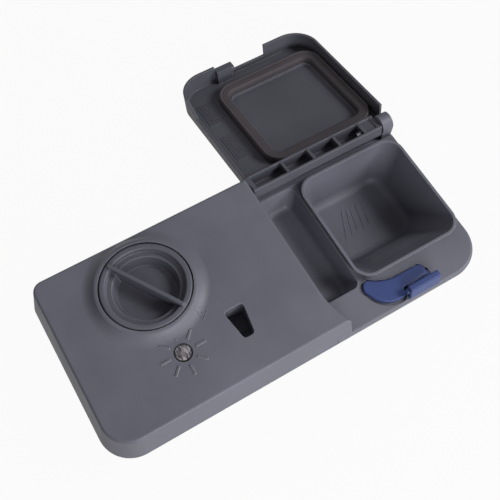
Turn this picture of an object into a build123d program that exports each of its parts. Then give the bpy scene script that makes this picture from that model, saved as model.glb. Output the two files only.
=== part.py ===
from build123d import *
import math
import os

# Dishwasher detergent dispenser, lid open. Millimetres, +Z out of the door panel, X along the panel,
# +Y towards the lid's hinge. The origin is the centre of the four fixing bosses, in the plane of their ends.

# Panel outline
plate_length = 230.0
plate_width = 104.0
front_corner_radius = 18.0
deck_corner_radius = 20.0
back_corner_radius = 8.0
back_right_radius = 2.5
wall = 2.5

# Fixing bosses behind the panel
boss_length = 6.0
boss_radius = 4.0
boss_hole_radius = 1.7
boss_hole_depth = 6.5
boss_inset_x = 16.0
boss_inset_y = 9.5

# Heights above the panel's seat on the door
seat = boss_length
deck_height = 4.0
block_height = 18.0
rim_height = 9.5
channel_height = 2.0
deck_top = seat + deck_height
block_top = seat + block_height
rim_top = seat + rim_height
channel_top = seat + channel_height
flange_width = 8.0

# Raised block on the left
block_edge_x = 18.6
block_flare = 6.5
block_flare_run = 18.0
block_side_run = 4.0
block_front_run = 3.7
block_back_run = 1.0
block_top_front_radius = 15.0
block_top_back_radius = 6.0
block_edge_fillet = 1.6
deck_edge_fillet = 1.6

# Main cup
cup_left = 45.4
cup_right_margin = 4.6
cup_front = -30.0
cup_back = 36.6
cup_depth = 33.5
cup_corner_radius = 9.0
cup_wall = 1.6
cup_floor_left = 50.0
cup_right_run = 7.4
cup_floor_front = -8.0
cup_floor_back = 33.0
cup_floor_fillet = 5.0

# Pre-wash trough between the block and the cup
trough_left = 20.4
trough_front = -31.0
trough_back = 39.4
trough_depth = 13.0
trough_corner_radius = 4.0
trough_draft_run = 4.0
trough_rim_gap = 0.2
trough_floor_fillet = 4.0

# Lid and its hinge
hinge_y = 47.0
hinge_height = 11.0
hinge_z = seat + hinge_height
lid_open_angle = 192.0
lid_gap = 0.6
lid_left_gap = 1.6
lid_thickness = 2.2
lid_skirt_thickness = 1.5
lid_deck_gap = 0.6
lid_free_v = 95.0
lid_left_radius = 17.0
lid_right_radius = 17.0
lid_left_lip = 4.8
lid_lip_run = 12.0
lid_step_x = 48.5
lid_step_depth = 1.9
lid_step_width = 5.0
lid_notch_left = 59.0
lid_notch_right = 84.6
lid_notch_skirt = 3.2
lid_skirt_start = 7.5
beam_front = -4.6
beam_back = 7.2
beam_height = 9.7
beam_wall = 1.5
beam_end_wall = 2.4
beam_rib_pitch = 17.6
beam_first_rib_x = 43.6
beam_rib_count = 4
beam_pocket_depth = 7.6
beam_shallow_depth = 0.8
beam_edge_radius = 0.7
beam_outer_radius = 4.0
hinge_pin_radius = 1.5
hinge_pin_end_gap = 0.4
hinge_clearance = 0.06
hinge_pin_bite = 7.0
left_pin_hold = 2.2
right_pin_end_x = 92.0
lug_width = 7.0
lug_radius = 5.5

# Gasket on the lid's inner face
gasket_width = 6.8
gasket_left = 39.8
gasket_right = 112.4
gasket_near = 8.0
gasket_far = 82.2
gasket_corner_radius = 12.0
gasket_seal_gap = 0.4
gasket_rib_gap = 0.1
gasket_rib_height = 1.4
gasket_rib_thickness = 1.0
gasket_fillet = 1.2

# Latch lever on the deck, turned to its released stop
latch_x = 47.5
latch_y = -35.0
latch_turn = 8.0
latch_travel = 5.0
latch_head_radius = 4.3
latch_waist = (13.0, -3.2)
latch_waist_dip = (7.0, -0.7)
latch_tongue_back = (27.5, -5.4)
latch_tongue_tip = (31.0, -8.3)
latch_tongue_front = (29.5, -11.9)
latch_step_back = (14.0, -11.3)
latch_step_front = (12.0, -15.0)
latch_belly = (0.6, -11.2)
latch_thickness = 2.6
latch_recess = 1.0
latch_gap = 0.3
latch_recess_margin = 0.9
latch_shaft_radius = 2.6
latch_shaft_clearance = 0.05
latch_bearing_radius = 5.0
latch_bearing_length = 6.0
latch_edge_fillet = 0.4
tab_left = 62.6
tab_right = 82.3
tab_back = -46.0
tab_top_front = -49.8
tab_foot_front = -51.4
tab_height = 8.2
tab_deck_gap = 0.35
web_left = 67.0
web_right = 80.0
web_back = -41.5
web_thickness = 1.4
web_recess_margin = 1.5
nose_length = 1.6
nose_back = -46.5
nose_front = -49.0
nose_thickness = 1.8
catch_length = 1.6
catch_thickness = 1.2
catch_gap = 0.4
crank_length = 6.0
crank_hub_radius = 4.4
crank_arm_width = 4.0
crank_thickness = 4.0
fit_gap = 0.03
crank_screw_radius = 1.5
crank_screw_head_radius = 3.8
crank_screw_head_height = 1.6
crank_screw_length = 9.0

# Rinse-aid cap, its collar and neck
cap_x = -59.0
cap_y = 20.1
cap_rise = 3.2
cap_radius = 24.3
cap_groove = 0.6
collar_width = 1.8
collar_slope_run = 3.0
cap_ring_width = 3.4
cap_step_width = 3.0
cap_step_depth = 3.5
cap_bowl_depth = 10.0
cap_bowl_taper = 18.0
cap_edge_fillet = 1.0
cap_floor_thickness = 1.8
cap_bar_width = 2.2
cap_bar_rise = 1.6
cap_bar_fillet = 0.6
cap_bar_end_gap = 1.3
cap_bar_angle = -58.0
cap_spigot_gap = 0.9
cap_spigot_wall = 2.2
neck_ledge_width = 4.6
neck_ledge_thickness = 2.5
neck_ledge_height = 11.5
neck_slot_spare = 3.0
lug_reach = 2.2
lug_thickness = 1.8
lug_half_angle = 16.0
lug_gap = 0.4
cap_seal_section = 1.0

# Level lens
lens_x = -59.0
lens_y = -20.4
lens_radius = 4.6
lens_gap = 0.25
lens_flange_radius = 6.0
lens_flange_thickness = 1.6
lens_prism_length = 9.0
lens_prism_tip = 1.2
lens_boss_radius = 8.0
lens_seal_section = 0.75
lens_stand = 0.3
ray_count = 8
ray_inner_radius = 7.2
ray_length = 5.6
ray_width = 1.2
ray_height = 0.3
ray_turn = 45.0
mark_size = 5.0
mark_x = -41.4
mark_y = -5.2

# Tapered outlet slot and its duct
slot_back_y = -11.8
slot_length = 17.6
slot_back_width = 11.6
slot_front_width = 6.2
slot_x = -25.5
slot_corner_radius = 2.0
duct_wall = 1.6
duct_depth = 14.5
duct_ramp_angle = 35.0
duct_ramp_share = 0.5

# Rinse-aid tank behind the block
tank_left = -93.0
tank_right = -33.0
tank_seal_gap = 1.9
tank_wall = 2.0
tank_corner_radius = 2.5
tank_floor_fillet = 1.5
plug_x = -63.0
plug_drop = 13.0
plug_radius = 6.0
plug_head_radius = 8.0
plug_head_thickness = 1.2
plug_depth = 3.5

# Panel seal
seal_inset = 1.5
seal_width = 2.6
seal_thickness = 2.4

# Release mechanism behind the panel
mechanism_drop = 15.0
mechanism_z = seat - mechanism_drop
slide_y = latch_y - crank_length
slide_width = 4.0
slide_height = 5.0
slide_clearance = 0.3
slide_travel = 5.0
push_gap = 0.5
nozzle_radius = 2.8
nozzle_bore_radius = 1.2
nozzle_length = 3.0
valve_gap = 0.3
valve_pad_radius = 3.4
valve_pad_thickness = 1.6
chassis_left = -32.0
chassis_right = 17.0
chassis_overhang = 0.6
chassis_thickness = 2.5
chassis_screw_inset = 6.0
chassis_screw_margin = 7.1
chassis_screw_radius = 1.5
chassis_screw_length = 9.0
chassis_post_radius = 3.4
screw_head_radius = 3.0
screw_head_height = 1.8
recess_width = 1.0
recess_depth = 0.9
guide_length = 4.0
guide_wall = 1.6
guide_left_x = -16.0
guide_right_x = 4.0
actuator_x = -2.0
actuator_y = -20.0
actuator_radius = 9.0
actuator_length = 28.0
actuator_nose_radius = 5.0
actuator_nose_length = 3.0
actuator_edge_fillet = 1.0
plunger_end_gap = 0.5
plunger_radius = 2.5
plunger_clearance = 0.05
plunger_stand = 2.5
plunger_depth = 18.0
crosshead_thickness = 3.0
saddle_thickness = 2.0
saddle_spacing = 18.0
saddle_half_width = 7.0
clip_thickness = 0.8
clip_width = 8.0
clip_foot = 7.0
clip_screw_radius = 1.2
clip_screw_head_radius = 2.4
clip_screw_head_height = 1.4
clip_screw_length = 6.0
clip_boss_radius = 3.0
clip_boss_height = 4.0
terminal_width = 4.8
terminal_thickness = 0.8
terminal_length = 9.0
terminal_spacing = 8.0
terminal_bury = 3.0

# Dose selector in the neck
dial_radius = 7.0
dial_thickness = 3.0
dial_post_radius = 2.0
dial_clearance = 0.05
dial_gap = 0.3
dial_slot_width = 1.6
dial_slot_depth = 1.2
dial_bridge_width = 10.0
dial_bridge_thickness = 2.0
dial_bridge_drop = 6.0

os.makedirs("parts", exist_ok=True)

plate_left = -plate_length / 2
plate_right = plate_length / 2
plate_front = -plate_width / 2
plate_back = plate_width / 2
boss_spacing_x = plate_length - 2 * boss_inset_x
boss_spacing_y = plate_width - 2 * boss_inset_y
block_flare_y = plate_front + block_flare_run
cup_right = plate_right - cup_right_margin
cup_floor_right = cup_right - cup_right_run


def outline(corners, radii, mode=Mode.ADD):
    """Face inside a polygon whose corners are rounded, one radius for each corner."""
    with BuildLine() as edge:
        FilletPolyline(*corners, radius=radii, close=True)
    make_face(edge.edges(), mode=mode)


def box_outline(left, right, front, back, radii, mode=Mode.ADD):
    """Rectangle from its four sides, with radii at front left, front right, back right and back left."""
    outline(((left, front), (right, front), (right, back), (left, back)), radii, mode)


def finish(piece, name):
    """Labels a finished piece and writes its file."""
    piece.part.label = name
    export_step(piece.part, f"parts/{name}.step")


# Front panel

cup_rim_radius = cup_corner_radius + cup_wall
cup_outer_left = cup_left - cup_wall
cup_outer_right = cup_right + cup_wall
cup_outer_front = cup_front - cup_wall
cup_outer_back = cup_back + cup_wall
cup_floor_z = rim_top - cup_depth
trough_right = cup_outer_left - trough_rim_gap
rest_z = cup_floor_z - cup_wall
trough_floor_z = deck_top - trough_depth
roof_z = block_top - wall
cap_top = block_top + cap_rise
cap_hole_radius = cap_radius + cap_groove
neck_outer_radius = cap_hole_radius + wall
neck_bore_radius = cap_hole_radius - neck_ledge_width
cap_spigot_radius = neck_bore_radius - cap_spigot_gap
ledge_z = seat + neck_ledge_height
lug_face_x = plate_right - lid_gap - lug_width
tank_half_width = plate_width / 2 - seal_inset - seal_width - tank_seal_gap
chassis_half_width = tank_half_width + chassis_overhang
chassis_screw_y = chassis_half_width - chassis_screw_margin
chassis_screws_x = (chassis_left + chassis_right) / 2
chassis_screws_span = chassis_right - chassis_left - 2 * chassis_screw_inset


def block_outline(side_run, front_run, back_run, front_radius, back_radius):
    """Block's outline at one height: drawn in from the plate's sides, with a flare at its front right."""
    front = plate_front + front_run
    flare_share = (block_flare_y - front) / (block_flare_y - plate_front)
    outline(
        (
            (plate_left + side_run, front),
            (block_edge_x + block_flare * flare_share, front),
            (block_edge_x, block_flare_y),
            (block_edge_x, plate_back - back_run),
            (plate_left + side_run, plate_back - back_run),
        ),
        (front_radius, 0, 3 * front_radius, 1, back_radius),
    )


def slot_outline(growth):
    """Tapered slot, grown outwards by a wall."""
    back = slot_back_width / 2 + growth
    front = slot_front_width / 2 + growth
    y_back = slot_back_y + growth
    y_front = slot_back_y - slot_length - growth
    outline(
        (
            (slot_x - front, y_front),
            (slot_x + front, y_front),
            (slot_x + back, y_back),
            (slot_x - back, y_back),
        ),
        [slot_corner_radius + growth] * 4,
    )


def latch_level(turn, height):
    """Plane at one height, centred on the lever's pivot and turned with the lever."""
    direction = (math.cos(math.radians(turn)), math.sin(math.radians(turn)), 0)
    return Plane(origin=(latch_x, latch_y, height), x_dir=direction, z_dir=(0, 0, 1))


def latch_outline():
    """Crescent of the lever seen from above: round head, front belly and a tongue along the cup."""
    head_left = (-0.9 * latch_head_radius, -0.58 * latch_head_radius)
    head_right = (0.25 * latch_head_radius, 0.97 * latch_head_radius)
    with BuildLine() as edge:
        ThreePointArc(head_left, (-0.62 * latch_head_radius, 0.78 * latch_head_radius), head_right)
        ThreePointArc(head_right, latch_waist_dip, latch_waist)
        Line(latch_waist, latch_tongue_back)
        ThreePointArc(latch_tongue_back, latch_tongue_tip, latch_tongue_front)
        Line(latch_tongue_front, latch_step_back)
        Line(latch_step_back, latch_step_front)
        ThreePointArc(latch_step_front, latch_belly, head_left)
    make_face(edge.edges())


# Hollows of the trough and the cup, with rounded floors
with BuildPart() as trough_hollow:
    with BuildSketch(Plane.XY.offset(deck_top)):
        box_outline(trough_left, trough_right, trough_front, trough_back, [trough_corner_radius] * 4)
    with BuildSketch(Plane.XY.offset(trough_floor_z)):
        box_outline(
            trough_left + trough_draft_run, trough_right - trough_draft_run,
            trough_front + trough_draft_run, trough_back - trough_draft_run, [trough_corner_radius] * 4,
        )
    loft()
    fillet(trough_hollow.faces().sort_by(Axis.Z)[0].edges(), trough_floor_fillet)

with BuildPart() as cup_hollow:
    with BuildSketch(Plane.XY.offset(rim_top)):
        box_outline(cup_left, cup_right, cup_front, cup_back, [cup_corner_radius] * 4)
    with BuildSketch(Plane.XY.offset(cup_floor_z)):
        box_outline(
            cup_floor_left, cup_floor_right, cup_floor_front, cup_floor_back, [cup_corner_radius] * 4
        )
    loft()
    fillet(cup_hollow.faces().sort_by(Axis.Z)[0].edges(), cup_floor_fillet)

with BuildPart() as front_panel:
    # Deck: a plate with a rounded top edge, from just inside the block
    with BuildSketch(Plane.XY.offset(seat)):
        box_outline(
            block_edge_x - wall, plate_right, plate_front, plate_back,
            (0, deck_corner_radius, back_right_radius, 0),
        )
    extrude(amount=deck_height)
    fillet(front_panel.faces().sort_by(Axis.Z)[-1].edges(), deck_edge_fillet)
    # Raised block, drafted from the plate's outline
    with BuildSketch(Plane.XY.offset(seat)):
        block_outline(0, 0, 0, front_corner_radius, back_corner_radius)
    with BuildSketch(Plane.XY.offset(block_top)):
        block_outline(
            block_side_run, block_front_run, block_back_run, block_top_front_radius, block_top_back_radius
        )
    loft()
    fillet(front_panel.faces().sort_by(Axis.Z)[-1].edges(), block_edge_fillet)
    # Hollow of the block, open from behind inside the flange
    with BuildSketch(Plane.XY.offset(deck_top)):
        block_outline(wall, wall, wall, front_corner_radius - wall, back_corner_radius - wall)
        with Locations((block_edge_x - wall, 0)):
            Rectangle(plate_length, plate_width, align=(Align.MIN, Align.CENTER), mode=Mode.SUBTRACT)
    with BuildSketch(Plane.XY.offset(roof_z)):
        block_outline(
            block_side_run + wall, block_front_run + wall, block_back_run + wall,
            block_top_front_radius - wall, block_top_back_radius - wall,
        )
        with Locations((block_edge_x - wall, 0)):
            Rectangle(plate_length, plate_width, align=(Align.MIN, Align.CENTER), mode=Mode.SUBTRACT)
    loft(mode=Mode.SUBTRACT)
    with BuildSketch(Plane.XY.offset(seat)):
        box_outline(
            plate_left + flange_width, block_edge_x - flange_width,
            plate_front + flange_width, plate_back - flange_width, [back_corner_radius] * 4,
        )
    extrude(amount=deck_height, mode=Mode.SUBTRACT)
    # Walls that carry the tank's rim
    with BuildSketch(Plane.XY.offset(seat)):
        for wall_x in (tank_left + tank_wall / 2, tank_right - tank_wall / 2):
            with Locations((wall_x, 0)):
                Rectangle(tank_wall, plate_width - 2 * flange_width)
    extrude(amount=roof_z - seat)
    # Collar round the cap, with a sloped shoulder, and the neck under it
    with BuildSketch(Plane.XY.offset(block_top)):
        with Locations((cap_x, cap_y)):
            Circle(cap_hole_radius + collar_width + collar_slope_run)
    extrude(amount=cap_rise, taper=math.degrees(math.atan2(collar_slope_run, cap_rise)))
    with BuildSketch(Plane.XY.offset(ledge_z - neck_ledge_thickness)):
        with Locations((cap_x, cap_y)):
            Circle(neck_outer_radius)
    extrude(amount=roof_z - ledge_z + neck_ledge_thickness)
    with BuildSketch(Plane.XY.offset(cap_top)):
        with Locations((cap_x, cap_y)):
            Circle(cap_hole_radius)
    extrude(amount=ledge_z - cap_top, mode=Mode.SUBTRACT)
    # Bore of the neck, with two ways in for the cap's lugs a quarter turn from where they lock
    with BuildSketch(Plane.XY.offset(ledge_z)):
        with Locations((cap_x, cap_y)):
            Circle(neck_bore_radius)
            with PolarLocations(0, 2, start_angle=cap_bar_angle):
                Rectangle(
                    2 * (cap_spigot_radius + lug_reach + lug_gap),
                    2 * cap_spigot_radius * math.sin(math.radians(lug_half_angle + neck_slot_spare)),
                )
    extrude(amount=-neck_ledge_thickness, mode=Mode.SUBTRACT)
    # Bridge across the neck with the post of the dose selector
    bridge_z = ledge_z - neck_ledge_thickness - dial_bridge_drop
    with BuildSketch(Plane.XY.offset(bridge_z)):
        with Locations((cap_x, cap_y)):
            Rectangle(dial_bridge_width, 2 * neck_outer_radius)
            Circle(neck_outer_radius, mode=Mode.INTERSECT)
    extrude(amount=-dial_bridge_thickness)
    with BuildSketch(Plane.XY.offset(bridge_z - dial_bridge_thickness)):
        with Locations((cap_x, cap_y)):
            with PolarLocations(neck_outer_radius - wall / 2, 2, start_angle=90):
                Rectangle(wall, dial_bridge_width)
    extrude(amount=dial_bridge_thickness + dial_bridge_drop + neck_ledge_thickness / 2)
    with BuildSketch(Plane.XY.offset(bridge_z)):
        with Locations((cap_x, cap_y)):
            Circle(dial_post_radius)
    extrude(amount=dial_gap + dial_thickness)
    # Posts for the chassis screws, and the boss of the hinge's left pin
    with BuildSketch(Plane.XY.offset(seat)):
        with Locations((chassis_screws_x, 0)):
            with GridLocations(chassis_screws_span, 2 * chassis_screw_y, 2, 2):
                Circle(chassis_post_radius)
        with Locations((-boss_spacing_x / 2, 0)):
            with GridLocations(0, boss_spacing_y, 1, 2):
                Circle(boss_radius)
    extrude(amount=roof_z - seat)
    with BuildSketch(Plane.YZ.offset(block_edge_x - hinge_pin_bite - wall)):
        with Locations((hinge_y, hinge_z)):
            Circle(lug_radius)
            Rectangle(lug_radius, 2 * lug_radius, align=(Align.MIN, Align.CENTER))
        with Locations((plate_back - wall / 2, hinge_z)):
            Rectangle(plate_width, plate_width, align=(Align.MIN, Align.CENTER), mode=Mode.SUBTRACT)
    extrude(amount=hinge_pin_bite)
    # Boss and seat of the level lens
    with BuildSketch(Plane.XY.offset(roof_z)):
        with Locations((lens_x, lens_y)):
            Circle(lens_boss_radius)
    extrude(amount=-(lens_flange_thickness + 2 * lens_seal_section))
    with BuildSketch(Plane.XY.offset(roof_z - lens_flange_thickness - 2 * lens_seal_section)):
        with Locations((lens_x, lens_y)):
            Circle(lens_flange_radius + lens_gap)
    extrude(amount=lens_flange_thickness + 2 * lens_seal_section, mode=Mode.SUBTRACT)
    with BuildSketch(Plane.XY.offset(roof_z)):
        with Locations((lens_x, lens_y)):
            Circle(lens_radius + lens_gap)
    extrude(amount=wall, mode=Mode.SUBTRACT)
    # Sun mark round the lens, and an arrowhead beside the cap
    with BuildSketch(Plane.XY.offset(block_top)):
        with Locations((lens_x, lens_y)):
            with PolarLocations(ray_inner_radius + ray_length / 2, ray_count, start_angle=ray_turn):
                Rectangle(ray_length, ray_width)
        with Locations((mark_x, mark_y)):
            RegularPolygon(mark_size / 2, 3, rotation=cap_bar_angle)
    extrude(amount=ray_height)
    # Duct under the outlet slot, closed by a ramp
    with BuildSketch(Plane.XY.offset(roof_z - duct_depth)):
        slot_outline(duct_wall)
    extrude(amount=duct_depth)
    with BuildSketch(Plane.XY.offset(roof_z - duct_depth + duct_wall)):
        slot_outline(0)
    extrude(amount=block_top - roof_z + duct_depth - duct_wall, mode=Mode.SUBTRACT)
    with BuildSketch(Plane.YZ.offset(slot_x - slot_back_width / 2 - duct_wall / 2)):
        ramp_run = slot_length * duct_ramp_share
        with BuildLine():
            Polyline(
                (slot_back_y - slot_length - duct_wall / 2, roof_z - duct_depth + duct_wall / 2),
                (slot_back_y - slot_length + ramp_run, roof_z - duct_depth + duct_wall / 2),
                (
                    slot_back_y - slot_length - duct_wall / 2,
                    roof_z - duct_depth + duct_wall / 2 + ramp_run * math.tan(math.radians(duct_ramp_angle)),
                ),
                close=True,
            )
        make_face()
    extrude(amount=slot_back_width + duct_wall)
    # Fixing bosses
    with BuildSketch(Plane.XY):
        with GridLocations(boss_spacing_x, boss_spacing_y, 2, 2):
            Circle(boss_radius)
    extrude(amount=deck_top - wall / 2)
    # Hinge channel behind the cup, then the lug
    with BuildSketch(Plane.XY.offset(channel_top)):
        with Locations((block_edge_x, trough_back + cup_wall)):
            Rectangle(plate_length, plate_width, align=(Align.MIN, Align.MIN))
    extrude(amount=deck_height, mode=Mode.SUBTRACT)
    with BuildSketch(Plane.YZ.offset(lug_face_x)):
        with Locations((hinge_y, hinge_z)):
            Circle(lug_radius)
        with Locations((hinge_y, (hinge_z + seat) / 2)):
            Rectangle(2 * lug_radius, hinge_z - seat)
        with Locations((plate_back + lug_radius - lid_gap, seat)):
            Rectangle(2 * lug_radius, 2 * hinge_height + 4 * lug_radius, mode=Mode.SUBTRACT)
    extrude(amount=lug_width)
    # Tubs of the cup and the trough
    with BuildSketch(Plane.XY.offset(rim_top)):
        box_outline(cup_outer_left, cup_outer_right, cup_outer_front, cup_outer_back, [cup_rim_radius] * 4)
    with BuildSketch(Plane.XY.offset(rest_z)):
        box_outline(
            cup_floor_left - cup_wall, cup_floor_right + cup_wall,
            cup_floor_front - cup_wall, cup_floor_back + cup_wall, [cup_rim_radius] * 4,
        )
    loft()
    with BuildSketch(Plane.XY.offset(deck_top - wall / 2)):
        box_outline(
            trough_left - cup_wall, cup_left, trough_front - cup_wall, trough_back + cup_wall,
            [trough_corner_radius + cup_wall] * 4,
        )
    extrude(amount=trough_floor_z - cup_wall - deck_top + wall / 2)
    add(trough_hollow.part, mode=Mode.SUBTRACT)
    add(cup_hollow.part, mode=Mode.SUBTRACT)
    # Recess, bearing and bore of the latch lever
    with BuildSketch(Plane.XY.offset(seat - latch_bearing_length)):
        with Locations((latch_x, latch_y)):
            Circle(latch_bearing_radius)
    extrude(amount=latch_bearing_length + deck_height / 2)
    for turn in (latch_turn, latch_turn - latch_travel):
        with BuildSketch(latch_level(turn, deck_top - latch_recess)):
            latch_outline()
            offset(amount=latch_recess_margin)
        extrude(amount=latch_recess, mode=Mode.SUBTRACT)
    with BuildSketch(Plane.XY.offset(deck_top - latch_recess)):
        box_outline(
            web_left - 2 * web_recess_margin, web_right + web_recess_margin,
            tab_top_front, web_back + web_recess_margin, [latch_recess_margin] * 4,
        )
    extrude(amount=latch_recess, mode=Mode.SUBTRACT)
    with BuildSketch(Plane.XY.offset(seat - latch_bearing_length)):
        with Locations((latch_x, latch_y)):
            Circle(latch_shaft_radius + latch_shaft_clearance)
    extrude(amount=latch_bearing_length + deck_height, mode=Mode.SUBTRACT)
    # Bores: fixing bosses, chassis posts and both hinge pins
    with BuildSketch(Plane.XY):
        with GridLocations(boss_spacing_x, boss_spacing_y, 2, 2):
            Circle(boss_hole_radius)
    extrude(amount=boss_hole_depth, mode=Mode.SUBTRACT)
    with BuildSketch(Plane.XY.offset(seat)):
        with Locations((chassis_screws_x, 0)):
            with GridLocations(chassis_screws_span, 2 * chassis_screw_y, 2, 2):
                Circle(chassis_screw_radius + fit_gap)
    extrude(amount=chassis_screw_length, mode=Mode.SUBTRACT)
    with BuildSketch(Plane.YZ.offset(block_edge_x - hinge_pin_bite)):
        with Locations((hinge_y, hinge_z)):
            Circle(hinge_pin_radius + hinge_clearance)
    extrude(amount=hinge_pin_bite, mode=Mode.SUBTRACT)
    with BuildSketch(Plane.YZ.offset(lug_face_x)):
        with Locations((hinge_y, hinge_z)):
            Circle(hinge_pin_radius + hinge_clearance)
    extrude(amount=lug_width, mode=Mode.SUBTRACT)

finish(front_panel, "front_panel")


# Lid, folded back
open_tilt = math.radians(lid_open_angle - 180)
lid_plane = Plane(
    origin=(0, hinge_y, hinge_z), x_dir=(1, 0, 0), z_dir=(0, math.sin(open_tilt), math.cos(open_tilt))
)
lid_outer_w = hinge_z - block_top
lid_inner_w = lid_outer_w + lid_thickness
lid_skirt_w = hinge_z - deck_top - lid_deck_gap
lid_left = block_edge_x + lid_left_gap
lid_right = plate_right
beam_right = lug_face_x - lid_gap
beam_top_w = lid_outer_w + beam_height
gasket_top_w = hinge_z - rim_top - gasket_seal_gap
catch_w = lid_skirt_w - lid_step_depth


def lid_section(x):
    """Plane across the lid at one x: first coordinate away from the hinge, second towards the inner face."""
    along = (0, math.cos(open_tilt), -math.sin(open_tilt))
    return Plane(origin=(x, hinge_y, hinge_z), x_dir=along, z_dir=(1, 0, 0))


def lid_outline(inset, mode=Mode.ADD):
    """Lid's outline from the hinge axis to its free edge, drawn in by a wall."""
    box_outline(
        lid_left + inset, lid_right - inset, 0, lid_free_v - inset,
        (0, 0, lid_right_radius - inset, lid_left_radius - inset), mode,
    )


def gasket_outline(inset, mode=Mode.ADD):
    """Outer outline of the gasket, drawn in."""
    box_outline(
        gasket_left + inset, gasket_right - inset, gasket_near + inset, gasket_far - inset,
        [gasket_corner_radius - inset] * 4, mode,
    )


def lid_skirt(left, right, near, far):
    """Strip just inside the lid's outline, kept between four sides."""
    lid_outline(0)
    with Locations(((left + right) / 2, (near + far) / 2)):
        Rectangle(right - left, far - near, mode=Mode.INTERSECT)
    lid_outline(lid_skirt_thickness, Mode.SUBTRACT)


with BuildPart() as lid:
    with BuildSketch(lid_plane.offset(lid_outer_w)):
        lid_outline(0)
        with Locations((lid_right, 0)):
            Rectangle(2 * (lid_right - beam_right), 2 * lid_skirt_start, mode=Mode.SUBTRACT)
    extrude(amount=lid_thickness)
    # Skirt: full height on the right and at the left corner, low along the left side and in the notch
    skirt_height = lid_skirt_w - lid_inner_w
    corner_v = lid_free_v - lid_left_radius
    for left, right, near, far, height in (
        (lid_notch_right, lid_right, lid_skirt_start, lid_free_v, skirt_height),
        (lid_left, lid_step_x, corner_v, lid_free_v, skirt_height),
        (lid_left, lid_left + lid_left_radius, beam_back, corner_v, lid_left_lip),
        (lid_notch_left, lid_notch_right, corner_v, lid_free_v, lid_notch_skirt),
    ):
        with BuildSketch(lid_plane.offset(lid_inner_w)):
            lid_skirt(left, right, near, far)
        extrude(amount=height)
    with BuildSketch(lid_section(lid_left)):
        with BuildLine():
            Polyline(
                (corner_v - lid_lip_run, lid_inner_w + lid_left_lip),
                (corner_v, lid_inner_w + lid_left_lip),
                (corner_v, lid_skirt_w),
                close=True,
            )
        make_face()
    extrude(amount=lid_skirt_thickness)
    # Block beside the notch, and the tooth on it that the latch lever holds
    with BuildSketch(lid_plane.offset(lid_inner_w)):
        with Locations((lid_step_x, lid_free_v)):
            Rectangle(lid_notch_left - lid_step_x, lid_step_width, align=(Align.MIN, Align.MAX))
    extrude(amount=skirt_height - lid_step_depth)
    with BuildSketch(lid_plane.offset(catch_w)):
        with Locations((lid_notch_left, lid_free_v)):
            Rectangle(catch_length, lid_step_width, align=(Align.MIN, Align.MAX))
    extrude(amount=-catch_thickness)
    # Rib that locates the gasket
    with BuildSketch(lid_plane.offset(lid_inner_w)):
        gasket_outline(gasket_width + gasket_rib_gap)
        gasket_outline(gasket_width + gasket_rib_gap + gasket_rib_thickness, Mode.SUBTRACT)
    extrude(amount=gasket_rib_height)
    # Hinge beam, its pockets and the bores of the pins
    with BuildSketch(lid_section(lid_left)):
        box_outline(
            beam_front, beam_back, lid_outer_w, beam_top_w,
            (beam_outer_radius, 0, beam_edge_radius, beam_edge_radius),
        )
    extrude(amount=beam_right - lid_left)
    last_rib_x = beam_first_rib_x + (beam_rib_count - 1) * beam_rib_pitch
    pocket_v = (beam_front + beam_back) / 2
    pocket_width = beam_back - beam_front - 2 * beam_wall
    left_bay_start = lid_left + beam_end_wall
    left_bay_end = beam_first_rib_x - beam_wall / 2
    with BuildSketch(lid_plane.offset(beam_top_w)):
        with Locations(((left_bay_start + left_bay_end) / 2, pocket_v)):
            Rectangle(left_bay_end - left_bay_start, pocket_width)
        for bay in range(beam_rib_count - 1):
            with Locations((beam_first_rib_x + (bay + 0.5) * beam_rib_pitch, pocket_v)):
                Rectangle(beam_rib_pitch - beam_wall, pocket_width)
    extrude(amount=-beam_pocket_depth, mode=Mode.SUBTRACT)
    right_bay_start = last_rib_x + beam_wall / 2
    right_bay_end = beam_right - beam_end_wall
    with BuildSketch(lid_plane.offset(beam_top_w)):
        with Locations(((right_bay_start + right_bay_end) / 2, pocket_v)):
            Rectangle(right_bay_end - right_bay_start, pocket_width)
    extrude(amount=-beam_shallow_depth, mode=Mode.SUBTRACT)
    with BuildSketch(lid_section(lid_left)):
        Circle(hinge_pin_radius + fit_gap)
    extrude(amount=left_pin_hold, mode=Mode.SUBTRACT)
    with BuildSketch(lid_section(right_pin_end_x)):
        Circle(hinge_pin_radius + fit_gap)
    extrude(amount=beam_right - right_pin_end_x, mode=Mode.SUBTRACT)

finish(lid, "lid")

with BuildPart() as lid_gasket:
    with BuildSketch(lid_plane.offset(lid_inner_w)):
        gasket_outline(0)
        gasket_outline(gasket_width, Mode.SUBTRACT)
    extrude(amount=gasket_top_w - lid_inner_w)
    fillet(lid_gasket.faces().sort_by(Axis((0, 0, 0), lid_plane.z_dir))[-1].edges(), gasket_fillet)

finish(lid_gasket, "lid_gasket")

with BuildPart() as hinge_pins:
    left_pin_x = block_edge_x - hinge_pin_bite + hinge_pin_end_gap
    with BuildSketch(lid_section(left_pin_x)):
        Circle(hinge_pin_radius)
    extrude(amount=lid_left + left_pin_hold - left_pin_x)
    with BuildSketch(lid_section(right_pin_end_x)):
        Circle(hinge_pin_radius)
    extrude(amount=lug_face_x + lug_width - hinge_pin_end_gap - right_pin_end_x)

finish(hinge_pins, "hinge_pins")


# Latch lever with its shaft, the crank below and their screw
latch_z = deck_top - latch_recess + latch_gap
crank_bottom = mechanism_z - crank_thickness / 2
tab_z = deck_top + tab_deck_gap
nose_z = hinge_z - catch_w + catch_thickness + catch_gap

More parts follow.
